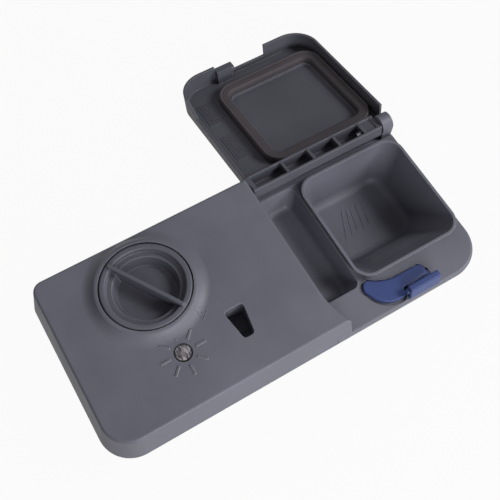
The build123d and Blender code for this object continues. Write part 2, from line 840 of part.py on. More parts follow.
with BuildPart() as latch_lever:
    with BuildSketch(latch_level(latch_turn, latch_z)):
        latch_outline()
    extrude(amount=latch_thickness)
    # Thumb tab with a sloped front, on a low web, and the nose that holds the lid
    with BuildSketch(Plane.YZ.offset(tab_left)):
        outline(
            (
                (tab_foot_front, tab_z),
                (tab_back, tab_z),
                (tab_back, deck_top + tab_height),
                (tab_top_front, deck_top + tab_height),
            ),
            (0, 0, latch_edge_fillet, latch_edge_fillet),
        )
    extrude(amount=tab_right - tab_left)
    with BuildSketch(Plane.XY.offset(latch_z)):
        box_outline(web_left, web_right, nose_back, web_back, (0, 0, 0, latch_edge_fillet))
    extrude(amount=web_thickness)
    with BuildSketch(Plane.YZ.offset(tab_left)):
        box_outline(nose_front, nose_back, nose_z, nose_z + nose_thickness, (0, 0, 0, latch_edge_fillet))
    extrude(amount=-nose_length)
    with BuildSketch(latch_level(latch_turn, latch_z)):
        Circle(latch_shaft_radius)
    extrude(amount=crank_bottom - latch_z)
    with BuildSketch(Plane.XY.offset(crank_bottom)):
        with Locations((latch_x, latch_y)):
            Circle(crank_screw_radius + fit_gap)
    extrude(amount=crank_screw_length + hinge_pin_end_gap, mode=Mode.SUBTRACT)

finish(latch_lever, "latch_lever")

with BuildPart() as latch_crank:
    with BuildSketch(Plane.XY.offset(crank_bottom)):
        with Locations((latch_x, latch_y)):
            Circle(crank_hub_radius)
    extrude(amount=seat - latch_bearing_length - latch_gap - crank_bottom)
    with BuildSketch(Plane.XY.offset(crank_bottom)):
        with Locations((latch_x, latch_y - crank_length)):
            Circle(crank_arm_width / 2)
        with Locations((latch_x, latch_y - crank_length / 2)):
            Rectangle(crank_arm_width, crank_length)
    extrude(amount=crank_thickness)
    with BuildSketch(Plane.XY.offset(crank_bottom)):
        with Locations((latch_x, latch_y)):
            Circle(latch_shaft_radius + fit_gap)
    extrude(amount=latch_z - crank_bottom, mode=Mode.SUBTRACT)

finish(latch_crank, "latch_crank")

with BuildPart() as crank_screw:
    with BuildSketch(Plane.XY.offset(crank_bottom)):
        with Locations((latch_x, latch_y)):
            Circle(crank_screw_head_radius)
    extrude(amount=-crank_screw_head_height)
    with BuildSketch(Plane.XY.offset(crank_bottom)):
        with Locations((latch_x, latch_y)):
            Circle(crank_screw_radius)
    extrude(amount=crank_screw_length)
    with BuildSketch(Plane.XY.offset(crank_bottom - crank_screw_head_height)):
        with Locations((latch_x, latch_y)):
            Rectangle(2 * crank_screw_radius, recess_width)
            Rectangle(recess_width, 2 * crank_screw_radius)
    extrude(amount=recess_depth, mode=Mode.SUBTRACT)

finish(crank_screw, "crank_screw")


# Rinse-aid cap and its seal
cap_flange_z = ledge_z + 2 * cap_seal_section
spigot_z = ledge_z - neck_ledge_thickness - lug_gap - lug_thickness
bowl_radius = cap_radius - cap_ring_width
bowl_floor_z = cap_top - cap_bowl_depth
spigot_inner_radius = cap_spigot_radius - cap_spigot_wall
lug_width_across = 2 * cap_spigot_radius * math.sin(math.radians(lug_half_angle))

with BuildPart() as rinse_cap:
    with BuildSketch(Plane.XY.offset(cap_flange_z)):
        with Locations((cap_x, cap_y)):
            Circle(cap_radius)
    extrude(amount=cap_top - cap_flange_z)
    with BuildSketch(Plane.XY.offset(spigot_z)):
        with Locations((cap_x, cap_y)):
            Circle(cap_spigot_radius)
    extrude(amount=cap_flange_z - spigot_z)
    # Two lugs, crosswise to the ways in
    with BuildSketch(Plane.XY.offset(spigot_z)):
        with Locations((cap_x, cap_y)):
            Circle(cap_spigot_radius + lug_reach)
            Rectangle(
                2 * cap_radius, lug_width_across, rotation=cap_bar_angle + 90, mode=Mode.INTERSECT
            )
    extrude(amount=lug_thickness)
    # Stepped bowl inside a rounded ring
    with BuildSketch(Plane.XY.offset(cap_top)):
        with Locations((cap_x, cap_y)):
            Circle(bowl_radius)
    extrude(amount=-cap_step_depth, mode=Mode.SUBTRACT)
    fillet(rinse_cap.faces().sort_by(Axis.Z)[-1].edges(), cap_edge_fillet)
    with BuildSketch(Plane.XY.offset(cap_top - cap_step_depth)):
        with Locations((cap_x, cap_y)):
            Circle(bowl_radius - cap_step_width)
    extrude(amount=cap_step_depth - cap_bowl_depth, taper=cap_bowl_taper, mode=Mode.SUBTRACT)
    with BuildSketch(Plane.XY.offset(spigot_z)):
        with Locations((cap_x, cap_y)):
            Circle(spigot_inner_radius)
    extrude(amount=bowl_floor_z - cap_floor_thickness - spigot_z, mode=Mode.SUBTRACT)
    # Finger bar, longer above the bowl's step and standing proud of the ring
    with BuildSketch(Plane.XY.offset(bowl_floor_z)):
        with Locations((cap_x, cap_y)):
            Rectangle(2 * cap_spigot_radius - lug_gap, cap_bar_width, rotation=cap_bar_angle)
    extrude(amount=cap_bowl_depth)
    with BuildSketch(Plane.XY.offset(cap_top - cap_step_depth)):
        with Locations((cap_x, cap_y)):
            Rectangle(2 * (cap_radius - cap_bar_end_gap), cap_bar_width, rotation=cap_bar_angle)
    extrude(amount=cap_step_depth + cap_bar_rise)
    fillet(rinse_cap.faces().sort_by(Axis.Z)[-1].edges(), cap_bar_fillet)

finish(rinse_cap, "rinse_cap")

with BuildPart() as cap_seal:
    with Locations((cap_x, cap_y, ledge_z + cap_seal_section)):
        Torus((neck_bore_radius + cap_hole_radius) / 2, cap_seal_section - fit_gap)

finish(cap_seal, "cap_seal")


# Level lens and its seal
lens_flange_z = roof_z - 2 * lens_seal_section

with BuildPart() as level_lens:
    with BuildSketch(Plane.XY.offset(lens_flange_z)):
        with Locations((lens_x, lens_y)):
            Circle(lens_radius)
    extrude(amount=block_top + lens_stand - lens_flange_z)
    with BuildSketch(Plane.XY.offset(lens_flange_z)):
        with Locations((lens_x, lens_y)):
            Circle(lens_flange_radius)
    extrude(amount=-lens_flange_thickness)
    with BuildSketch(Plane.XY.offset(lens_flange_z - lens_flange_thickness)):
        with Locations((lens_x, lens_y)):
            Circle(lens_radius)
    with BuildSketch(Plane.XY.offset(lens_flange_z - lens_flange_thickness - lens_prism_length)):
        with Locations((lens_x, lens_y)):
            Circle(lens_prism_tip)
    loft()

finish(level_lens, "level_lens")

with BuildPart() as lens_seal:
    with Locations((lens_x, lens_y, roof_z - lens_seal_section)):
        Torus((lens_radius + lens_flange_radius + lens_gap) / 2, lens_seal_section)

finish(lens_seal, "lens_seal")


# Seal between the panel and the door
with BuildPart() as panel_seal:
    with BuildSketch(Plane.XY.offset(seat)):
        for inset, mode in ((seal_inset, Mode.ADD), (seal_inset + seal_width, Mode.SUBTRACT)):
            box_outline(
                plate_left + inset, plate_right - inset, plate_front + inset, plate_back - inset,
                (
                    front_corner_radius - inset, deck_corner_radius - inset,
                    back_right_radius, back_corner_radius - inset,
                ),
                mode,
            )
    extrude(amount=-seal_thickness)

finish(panel_seal, "panel_seal")


# Rinse-aid tank with its dosing nozzle, and its plug
with BuildPart() as tank_shell:
    with BuildSketch(Plane.XY.offset(rest_z)):
        box_outline(
            tank_left, tank_right, -tank_half_width, tank_half_width, [tank_corner_radius] * 4
        )
    extrude(amount=seat - rest_z)
    fillet(tank_shell.faces().sort_by(Axis.Z)[0].edges(), tank_floor_fillet)
    with BuildSketch(Plane.XY.offset(rest_z + tank_wall)):
        box_outline(
            tank_left + tank_wall, tank_right - tank_wall, tank_wall - tank_half_width,
            tank_half_width - tank_wall, [tank_corner_radius - tank_wall] * 4,
        )
    extrude(amount=seat - rest_z - tank_wall, mode=Mode.SUBTRACT)
    with BuildSketch(Plane.YZ.offset(tank_right - tank_wall / 2)):
        with Locations((slide_y, mechanism_z)):
            Circle(nozzle_radius)
    extrude(amount=nozzle_length + tank_wall / 2)
    with BuildSketch(Plane.YZ.offset(tank_right - tank_wall)):
        with Locations((slide_y, mechanism_z)):
            Circle(nozzle_bore_radius)
    extrude(amount=nozzle_length + tank_wall, mode=Mode.SUBTRACT)
    with BuildSketch(Plane.XZ.offset(-tank_half_width)):
        with Locations((plug_x, seat - plug_drop)):
            Circle(plug_radius)
    extrude(amount=tank_wall, mode=Mode.SUBTRACT)

finish(tank_shell, "tank_shell")

with BuildPart() as tank_plug:
    with BuildSketch(Plane.XZ.offset(-tank_half_width)):
        with Locations((plug_x, seat - plug_drop)):
            Circle(plug_head_radius)
    extrude(amount=-plug_head_thickness)
    with BuildSketch(Plane.XZ.offset(-tank_half_width)):
        with Locations((plug_x, seat - plug_drop)):
            Circle(plug_radius - fit_gap)
    extrude(amount=plug_depth)

finish(tank_plug, "tank_plug")


# Chassis that carries the release mechanism
chassis_bottom = seat - chassis_thickness
guide_half_width = slide_width / 2 + slide_clearance + guide_wall
guide_bottom = mechanism_z - slide_height / 2 - slide_clearance - guide_wall
clip_reach = actuator_radius + fit_gap + clip_thickness + clip_foot / 2

with BuildPart() as chassis_plate:
    with BuildSketch(Plane.XY.offset(chassis_bottom)):
        box_outline(
            chassis_left, chassis_right, -chassis_half_width, chassis_half_width, [chassis_post_radius] * 4
        )
    extrude(amount=chassis_thickness)
    # Bosses above the plate for the clip's screws
    with BuildSketch(Plane.XY.offset(seat)):
        with Locations((actuator_x, actuator_y)):
            with GridLocations(0, 2 * clip_reach, 1, 2):
                Circle(clip_boss_radius)
    extrude(amount=clip_boss_height)
    # Guides of the slide
    with BuildSketch(Plane.XY.offset(chassis_bottom)):
        for guide_x in (guide_left_x, guide_right_x):
            with Locations((guide_x, slide_y)):
                Rectangle(guide_length, 2 * guide_half_width)
    extrude(amount=guide_bottom - chassis_bottom)
    with BuildSketch(Plane.YZ.offset(chassis_left)):
        with Locations((slide_y, mechanism_z)):
            Rectangle(slide_width + 2 * slide_clearance, slide_height + 2 * slide_clearance)
    extrude(amount=chassis_right - chassis_left, mode=Mode.SUBTRACT)
    # Saddles of the actuator
    for saddle_x in (actuator_x - saddle_spacing / 2, actuator_x + saddle_spacing / 2):
        with BuildSketch(Plane.YZ.offset(saddle_x - saddle_thickness / 2)):
            with Locations((actuator_y, chassis_bottom)):
                Rectangle(
                    2 * saddle_half_width, chassis_bottom - mechanism_z - actuator_radius / 2,
                    align=(Align.CENTER, Align.MAX),
                )
            with Locations((actuator_y, mechanism_z)):
                Circle(actuator_radius + fit_gap, mode=Mode.SUBTRACT)
        extrude(amount=saddle_thickness)
    # Holes for the screws
    with BuildSketch(Plane.XY.offset(chassis_bottom)):
        with Locations((chassis_screws_x, 0)):
            with GridLocations(chassis_screws_span, 2 * chassis_screw_y, 2, 2):
                Circle(chassis_screw_radius + slide_clearance)
    extrude(amount=chassis_thickness, mode=Mode.SUBTRACT)
    with BuildSketch(Plane.XY.offset(chassis_bottom)):
        with Locations((actuator_x, actuator_y)):
            with GridLocations(0, 2 * clip_reach, 1, 2):
                Circle(clip_screw_radius + fit_gap)
    extrude(amount=clip_screw_length, mode=Mode.SUBTRACT)

finish(chassis_plate, "chassis_plate")

with BuildPart() as chassis_screws:
    with BuildSketch(Plane.XY.offset(chassis_bottom)):
        with Locations((chassis_screws_x, 0)):
            with GridLocations(chassis_screws_span, 2 * chassis_screw_y, 2, 2):
                Circle(screw_head_radius)
    extrude(amount=-screw_head_height)
    with BuildSketch(Plane.XY.offset(chassis_bottom)):
        with Locations((chassis_screws_x, 0)):
            with GridLocations(chassis_screws_span, 2 * chassis_screw_y, 2, 2):
                Circle(chassis_screw_radius)
    extrude(amount=chassis_thickness + chassis_screw_length - hinge_pin_end_gap)
    with BuildSketch(Plane.XY.offset(chassis_bottom - screw_head_height)):
        with Locations((chassis_screws_x, 0)):
            with GridLocations(chassis_screws_span, 2 * chassis_screw_y, 2, 2):
                Rectangle(2 * chassis_screw_radius, recess_width)
                Rectangle(recess_width, 2 * chassis_screw_radius)
    extrude(amount=recess_depth, mode=Mode.SUBTRACT)

finish(chassis_screws, "chassis_screws")


# Wax actuator: housing, plunger, terminals, clip and its screws
actuator_left = actuator_x - actuator_length / 2
actuator_right = actuator_x + actuator_length / 2
plunger_tip_x = actuator_right + actuator_nose_length + plunger_stand
plunger_back_x = actuator_right + actuator_nose_length - plunger_depth

with BuildPart() as actuator_housing:
    with BuildSketch(Plane.YZ.offset(actuator_left)):
        with Locations((actuator_y, mechanism_z)):
            Circle(actuator_radius)
    extrude(amount=actuator_length)
    fillet(actuator_housing.edges().filter_by(GeomType.CIRCLE), actuator_edge_fillet)
    with BuildSketch(Plane.YZ.offset(actuator_right)):
        with Locations((actuator_y, mechanism_z)):
            Circle(actuator_nose_radius)
    extrude(amount=actuator_nose_length)
    with BuildSketch(Plane.YZ.offset(plunger_back_x - plunger_end_gap)):
        with Locations((actuator_y, mechanism_z)):
            Circle(plunger_radius + plunger_clearance)
    extrude(amount=plunger_depth + plunger_end_gap, mode=Mode.SUBTRACT)
    with BuildSketch(Plane.YZ.offset(actuator_left)):
        with Locations((actuator_y, mechanism_z)):
            with GridLocations(terminal_spacing, 0, 2, 1):
                Rectangle(terminal_width + 2 * fit_gap, terminal_thickness + 2 * fit_gap)
    extrude(amount=terminal_bury, mode=Mode.SUBTRACT)

finish(actuator_housing, "actuator_housing")

with BuildPart() as actuator_plunger:
    with BuildSketch(Plane.YZ.offset(plunger_back_x)):
        with Locations((actuator_y, mechanism_z)):
            Circle(plunger_radius)
    extrude(amount=plunger_tip_x - plunger_back_x)

finish(actuator_plunger, "actuator_plunger")

with BuildPart() as actuator_terminals:
    with BuildSketch(Plane.YZ.offset(actuator_left + terminal_bury)):
        with Locations((actuator_y, mechanism_z)):
            with GridLocations(terminal_spacing, 0, 2, 1):
                Rectangle(terminal_width, terminal_thickness)
    extrude(amount=-terminal_bury - terminal_length)

finish(actuator_terminals, "actuator_terminals")

with BuildPart() as actuator_clip:
    strap_radius = actuator_radius + fit_gap
    with BuildSketch(Plane.YZ.offset(actuator_x - clip_width / 2)):
        with Locations((actuator_y, mechanism_z)):
            Circle(strap_radius + clip_thickness)
            Rectangle(
                2 * (strap_radius + clip_thickness), chassis_bottom - mechanism_z,
                align=(Align.CENTER, Align.MIN),
            )
            Circle(strap_radius, mode=Mode.SUBTRACT)
            Rectangle(
                2 * strap_radius, chassis_bottom - mechanism_z,
                align=(Align.CENTER, Align.MIN), mode=Mode.SUBTRACT,
            )
        for side in (-1, 1):
            with Locations((actuator_y + side * clip_reach, chassis_bottom)):
                Rectangle(clip_foot + clip_thickness, clip_thickness, align=(Align.CENTER, Align.MAX))
    extrude(amount=clip_width)
    with BuildSketch(Plane.XY.offset(chassis_bottom)):
        with Locations((actuator_x, actuator_y)):
            with GridLocations(0, 2 * clip_reach, 1, 2):
                Circle(clip_screw_radius + slide_clearance)
    extrude(amount=-clip_thickness, mode=Mode.SUBTRACT)

finish(actuator_clip, "actuator_clip")

with BuildPart() as clip_screws:
    with BuildSketch(Plane.XY.offset(chassis_bottom - clip_thickness)):
        with Locations((actuator_x, actuator_y)):
            with GridLocations(0, 2 * clip_reach, 1, 2):
                Circle(clip_screw_head_radius)
    extrude(amount=-clip_screw_head_height)
    with BuildSketch(Plane.XY.offset(chassis_bottom - clip_thickness)):
        with Locations((actuator_x, actuator_y)):
            with GridLocations(0, 2 * clip_reach, 1, 2):
                Circle(clip_screw_radius)
    extrude(amount=clip_thickness + clip_screw_length - hinge_pin_end_gap)
    with BuildSketch(Plane.XY.offset(chassis_bottom - clip_thickness - clip_screw_head_height)):
        with Locations((actuator_x, actuator_y)):
            with GridLocations(0, 2 * clip_reach, 1, 2):
                Rectangle(2 * clip_screw_radius, recess_width)
                Rectangle(recess_width, 2 * clip_screw_radius)
    extrude(amount=recess_depth, mode=Mode.SUBTRACT)

finish(clip_screws, "clip_screws")


# Release slide and the valve pad on its end
valve_pad_x = tank_right + nozzle_length + valve_gap
slide_left = valve_pad_x + valve_pad_thickness
latch_swing = crank_length * math.sin(math.radians(latch_travel))
slide_right = latch_x - crank_arm_width / 2 - latch_swing - push_gap - slide_travel

with BuildPart() as release_slide:
    with BuildSketch(Plane.YZ.offset(slide_left)):
        with Locations((slide_y, mechanism_z)):
            Rectangle(slide_width, slide_height)
    extrude(amount=slide_right - slide_left)
    with BuildSketch(Plane.XY.offset(mechanism_z - slide_height / 2)):
        with Locations((plunger_tip_x, slide_y)):
            Rectangle(
                crosshead_thickness, actuator_y - slide_y + 2 * plunger_radius, align=(Align.MIN, Align.MIN)
            )
    extrude(amount=slide_height)

finish(release_slide, "release_slide")

with BuildPart() as valve_pad:
    with BuildSketch(Plane.YZ.offset(valve_pad_x)):
        with Locations((slide_y, mechanism_z)):
            Circle(valve_pad_radius)
    extrude(amount=valve_pad_thickness)

finish(valve_pad, "valve_pad")


# Dose selector on its post in the neck
with BuildPart() as dose_dial:
    with BuildSketch(Plane.XY.offset(bridge_z + dial_gap)):
        with Locations((cap_x, cap_y)):
            Circle(dial_radius)
            Circle(dial_post_radius + dial_clearance, mode=Mode.SUBTRACT)
    extrude(amount=dial_thickness)
    with BuildSketch(Plane.XY.offset(bridge_z + dial_gap + dial_thickness)):
        with Locations((cap_x, cap_y)):
            Rectangle(2 * dial_radius, dial_slot_width)
    extrude(amount=-dial_slot_depth, mode=Mode.SUBTRACT)

finish(dose_dial, "dose_dial")
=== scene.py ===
import math

import bmesh
import bpy
import numpy as np
from mathutils import Matrix, Vector


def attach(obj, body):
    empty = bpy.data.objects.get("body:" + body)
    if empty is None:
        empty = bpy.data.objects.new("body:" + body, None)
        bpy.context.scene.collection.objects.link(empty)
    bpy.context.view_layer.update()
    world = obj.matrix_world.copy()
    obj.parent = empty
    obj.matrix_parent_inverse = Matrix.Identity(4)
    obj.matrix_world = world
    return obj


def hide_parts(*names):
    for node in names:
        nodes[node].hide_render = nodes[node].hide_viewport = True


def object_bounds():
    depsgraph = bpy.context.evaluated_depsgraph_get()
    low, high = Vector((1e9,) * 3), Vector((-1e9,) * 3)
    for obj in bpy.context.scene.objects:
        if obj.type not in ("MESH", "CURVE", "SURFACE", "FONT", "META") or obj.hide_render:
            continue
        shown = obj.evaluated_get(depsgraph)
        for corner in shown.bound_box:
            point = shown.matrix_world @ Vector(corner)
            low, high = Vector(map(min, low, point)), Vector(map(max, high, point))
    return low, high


# Dishwasher detergent dispenser with its lid folded back, lying on a pale floor. Metres, in the frame of the
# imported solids: X along the panel, +Y towards the lid's hinge, +Z out of the door panel.

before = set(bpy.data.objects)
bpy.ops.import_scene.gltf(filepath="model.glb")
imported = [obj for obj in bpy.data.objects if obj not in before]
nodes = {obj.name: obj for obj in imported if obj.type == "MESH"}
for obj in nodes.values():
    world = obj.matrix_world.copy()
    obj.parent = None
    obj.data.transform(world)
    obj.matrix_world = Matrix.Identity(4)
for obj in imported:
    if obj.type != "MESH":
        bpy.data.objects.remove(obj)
cad_low, cad_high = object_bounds()

MM = 0.001
UP = np.array([0.0, 0.0, 1.0])

# Heights and places of the panel's features, in millimetres
SEAT = 6.0
DECK_TOP = 10.0
BLOCK_TOP = 24.0
BLOCK_BACK_Y = 51.0
CUP_FLOOR_Z = -18.0
CAP_X = -59.0
CAP_Y = 20.1
CAP_RISE = 3.2
CAP_HOLE_RADIUS = 24.9
LENS_X = -59.0
LENS_Y = -20.4
LENS_RADIUS = 4.6
LENS_STAND = 0.3

# The open lid: its hinge, its tilt, and the height of its inner face over the hinge
HINGE_Y = 47.0
HINGE_Z = 17.0
LID_TILT = math.radians(12.0)
LID_INNER_W = -4.8


def linear(hex_colour):
    """Linear red, green, blue and alpha of an sRGB hex colour, by the sRGB curve."""
    srgb = np.array([int(hex_colour[i:i + 2], 16) for i in (0, 2, 4)]) / 255
    low = srgb / 12.92
    high = ((srgb + 0.055) / 1.055) ** 2.4
    return (*np.where(srgb <= 0.04045, low, high).tolist(), 1.0)


def feed(tree, node, inputs):
    """Sets a shader node's inputs: each is a value, or a socket to link from."""
    for name, value in inputs.items():
        if isinstance(value, bpy.types.NodeSocket):
            tree.links.new(value, node.inputs[name])
        else:
            node.inputs[name].default_value = value


def add(tree, kind, inputs=None, **settings):
    """Adds a shader node: settings are its own properties; inputs are values, or sockets to link from."""
    made = tree.nodes.new(kind)
    for name, value in settings.items():
        setattr(made, name, value)
    feed(tree, made, inputs or {})
    return made


def new_material(name):
    """Material of a name, with its node tree and its surface shader."""
    material = bpy.data.materials.new(name)
    material.use_nodes = True
    return material, material.node_tree, material.node_tree.nodes["Principled BSDF"]


def in_scene(name, data):
    """Object made from a mesh, lamp or camera and linked into the scene."""
    made = bpy.data.objects.new(name, data)
    bpy.context.scene.collection.objects.link(made)
    return made


def surface(name, vertices, faces, body, material, smooth=True):
    """Mesh from arrays of points in millimetres and of faces, riding on a body."""
    mesh = bpy.data.meshes.new(name)
    mesh.from_pydata((np.asarray(vertices, float).reshape(-1, 3) * MM).tolist(), [], faces.tolist())
    mesh.polygons.foreach_set("use_smooth", np.full(len(mesh.polygons), smooth))
    mesh.materials.append(material)
    piece = in_scene(name, mesh)
    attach(piece, body)
    return piece


def grid_faces(rows, columns, closed=False):
    """Quads of a grid of points stored row by row; a closed grid joins its last column to its first."""
    spans = columns if closed else columns - 1
    row, column = np.meshgrid(np.arange(rows - 1), np.arange(spans), indexing="ij")
    here, after = row * columns + column, row * columns + (column + 1) % columns
    return np.stack((here, after, after + columns, here + columns), axis=-1).reshape(-1, 4)


# Materials

# Most of a noise texture's values lie in this span
NOISE_SPAN = {"From Min": 0.3, "From Max": 0.7}

CLOUD_MM = 30.0
CLOUD_SHADE = 0.08
# An edge gets the full painted highlight where its rounded and flat normals agree no more than this
HIGHLIGHT_AT = 0.8
# Pale grey painted into the colour of edges as a highlight
PAINTED_EDGE_HIGHLIGHT = linear("bcbcbf")
BEVEL_SAMPLES = 6
PLASTIC_ROUGH_SPREAD = 0.05
PLASTIC_IOR = 1.49
PLASTIC_SPECULAR = 0.35

METAL_ROUGH_SPREAD = 0.08
METAL_GRAIN_DEPTH_MM = 0.01


def moulded_plastic(name, colour, roughness, grain_mm, depth_mm, edge_mm=0.5, painted_edge_light=0.25):
    """Injection-moulded plastic: spark-eroded grain as bump, faint clouds in the colour and the sheen, and
    softly rounded edges that catch the light, with a pale highlight painted into their colour."""
    material, tree, shader = new_material(name)
    where = add(tree, "ShaderNodeTexCoord").outputs["Object"]
    clouds = add(tree, "ShaderNodeTexNoise",
                 {"Vector": where, "Scale": 1 / (CLOUD_MM * MM), "Detail": 3.0}).outputs["Fac"]
    grain = add(tree, "ShaderNodeTexNoise", {"Vector": where, "Scale": 1 / (grain_mm * MM), "Detail": 2.0})
    rounded = add(tree, "ShaderNodeBevel", {"Radius": edge_mm * MM}, samples=BEVEL_SAMPLES).outputs["Normal"]
    flat = add(tree, "ShaderNodeNewGeometry").outputs["Normal"]
    agree = add(tree, "ShaderNodeVectorMath", {0: rounded, 1: flat}, operation="DOT_PRODUCT")
    # Painted highlight: where the rounded normal turns away from the flat one, the colour is mixed towards
    # pale grey
    edge = add(tree, "ShaderNodeMapRange", {"Value": agree.outputs["Value"], "From Min": 1.0,
                                            "From Max": HIGHLIGHT_AT, "To Max": painted_edge_light})
    shade = add(tree, "ShaderNodeMapRange", {"Value": clouds, **NOISE_SPAN,
                                             "To Min": 1 - CLOUD_SHADE, "To Max": 1 + CLOUD_SHADE})
    tint = add(tree, "ShaderNodeVectorMath", {0: linear(colour)[:3], "Scale": shade.outputs["Result"]},
               operation="SCALE")
    highlighted = add(tree, "ShaderNodeMix", {"Factor": edge.outputs["Result"], "A": tint.outputs["Vector"],
                                        "B": PAINTED_EDGE_HIGHLIGHT}, data_type="RGBA")
    bump = add(tree, "ShaderNodeBump", {"Height": grain.outputs["Fac"], "Distance": depth_mm * MM,
                                        "Strength": 1.0, "Normal": rounded})
    rough = add(tree, "ShaderNodeMapRange", {"Value": clouds, **NOISE_SPAN,
                                             "To Min": roughness - PLASTIC_ROUGH_SPREAD,
                                             "To Max": roughness + PLASTIC_ROUGH_SPREAD})
    feed(tree, shader, {"Base Color": highlighted.outputs["Result"], "Roughness": rough.outputs["Result"],
                        "Normal": bump.outputs["Normal"], "IOR": PLASTIC_IOR,
                        "Specular IOR Level": PLASTIC_SPECULAR})
    return material


def plain_metal(name, colour, roughness, grain_mm):
    """Drawn or plated metal: tight reflections broken by a fine grain in roughness and bump."""
    material, tree, shader = new_material(name)
    where = add(tree, "ShaderNodeTexCoord").outputs["Object"]
    grain = add(tree, "ShaderNodeTexNoise",
                {"Vector": where, "Scale": 1 / (grain_mm * MM), "Detail": 3.0}).outputs["Fac"]
    rough = add(tree, "ShaderNodeMapRange", {"Value": grain, **NOISE_SPAN,
                                             "To Min": roughness - METAL_ROUGH_SPREAD,
                                             "To Max": roughness + METAL_ROUGH_SPREAD})
    bump = add(tree, "ShaderNodeBump", {"Height": grain, "Distance": METAL_GRAIN_DEPTH_MM * MM})
    feed(tree, shader, {"Base Color": linear(colour), "Metallic": 1.0, "Roughness": rough.outputs["Result"],
                        "Normal": bump.outputs["Normal"]})
    return material


# Polypropylene from a spark-eroded tool: satin, evenly grey with a cool cast, soft highlights on its edges.
panel_plastic = moulded_plastic("grey polypropylene panel", "5d5e68",
                                roughness=0.49, grain_mm=0.5, depth_mm=0.012)
# Painted shade: the lid's colour is darker than the panel's, for the less light that the tilted lid gets
shade_darkened_lid_plastic = moulded_plastic("grey polypropylene lid darkened for shade", "4d4d56",
                              roughness=0.54, grain_mm=0.5, depth_mm=0.012)
cap_plastic = moulded_plastic("grey polypropylene cap", "53535d",
                              roughness=0.50, grain_mm=0.5, depth_mm=0.010, edge_mm=0.7)
# Nitrile rubber from a smooth mould: browner and duller than the plastic round it.
gasket_rubber = moulded_plastic("brown grey nitrile gasket", "413c40",
                                roughness=0.66, grain_mm=0.8, depth_mm=0.02, painted_edge_light=0.05)
seal_rubber = moulded_plastic("black nitrile rubber", "1b1b1c",
                              roughness=0.65, grain_mm=0.8, depth_mm=0.02, painted_edge_light=0.05)
# Acetal lever: slate blue, smoother than the panel, with a waxy sheen.
blue_acetal = moulded_plastic("slate blue acetal", "323f6c",
                              roughness=0.40, grain_mm=0.6, depth_mm=0.006, edge_mm=0.3, painted_edge_light=0.1)
# Hidden mouldings behind the panel: black glass-filled nylon, natural polypropylene and ivory thermoplastic.
black_nylon = moulded_plastic("black glass filled nylon", "202124",
                              roughness=0.5, grain_mm=0.4, depth_mm=0.02, painted_edge_light=0.12)
tank_plastic = moulded_plastic("natural polypropylene tank", "a9aaac",
                               roughness=0.38, grain_mm=0.7, depth_mm=0.01)
ivory_plastic = moulded_plastic("ivory thermoplastic housing", "cfc8b4",
                                roughness=0.4, grain_mm=0.6, depth_mm=0.01)
# Steel pins and clip, zinc-plated screws and tinned brass tags.
steel = plain_metal("drawn stainless steel", "6b6e73", roughness=0.58, grain_mm=0.3)
zinc_steel = plain_metal("zinc plated steel", "c5c4bd", roughness=0.35, grain_mm=0.4)
brass = plain_metal("tinned brass", "c9a969", roughness=0.32, grain_mm=0.3)

# The lens's streaks: their width, how they are drawn out and turned, and the noise at the dark tone and at
# the pale one
STREAK_MM = 0.9
STREAK_STRETCH = (1.0, 0.25, 1.0)
STREAK_TURN = (0, 0, math.radians(25))
STREAK_TONES = ((0.38, "45414a"), (0.66, "aea8aa"))
# Shares of the lens's radius between which painted shade darkens it to its rim, for the shade in the gap
# round the lens
RIM_SHARES = (0.84, 0.94)
# Colour of the painted shade at the lens's rim
RIM_SHADE = "1e1d20"


def clear_lens():
    """Polycarbonate light guide: pale and a little milky, streaked by its facets, with painted shade
    darkening it towards its rim.
    """
    material, tree, shader = new_material("milky polycarbonate lens")
    where = add(tree, "ShaderNodeTexCoord").outputs["Object"]
    centre = Vector((LENS_X, LENS_Y, 0)) * MM
    local = add(tree, "ShaderNodeVectorMath", {0: where, 1: centre}, operation="SUBTRACT").outputs["Vector"]
    streaks = add(tree, "ShaderNodeMapping", {"Vector": local, "Rotation": STREAK_TURN,
                                              "Scale": STREAK_STRETCH})
    haze = add(tree, "ShaderNodeTexNoise", {"Vector": streaks.outputs["Vector"],
                                            "Scale": 1 / (STREAK_MM * MM), "Detail": 3.0})
    plan = add(tree, "ShaderNodeVectorMath", {0: local, 1: (1, 1, 0)}, operation="MULTIPLY").outputs["Vector"]
    out = add(tree, "ShaderNodeVectorMath", {0: plan}, operation="LENGTH").outputs["Value"]
    rim = add(tree, "ShaderNodeMapRange", {"Value": out, "From Min": RIM_SHARES[0] * LENS_RADIUS * MM,
                                           "From Max": RIM_SHARES[1] * LENS_RADIUS * MM})
    tone = add(tree, "ShaderNodeValToRGB", {"Fac": haze.outputs["Fac"]})
    for stop, (position, colour) in zip(tone.color_ramp.elements, STREAK_TONES):
        stop.position = position
        stop.color = linear(colour)
    # Painted shade: the lens's colour is mixed towards dark grey at its rim
    rim_shaded = add(tree, "ShaderNodeMix", {"Factor": rim.outputs["Result"], "A": tone.outputs["Color"],
                                        "B": linear(RIM_SHADE)}, data_type="RGBA")
    feed(tree, shader, {"Base Color": rim_shaded.outputs["Result"], "Roughness": 0.18, "IOR": 1.58,
                        "Transmission Weight": 0.2})
    return material


lens_plastic = clear_lens()

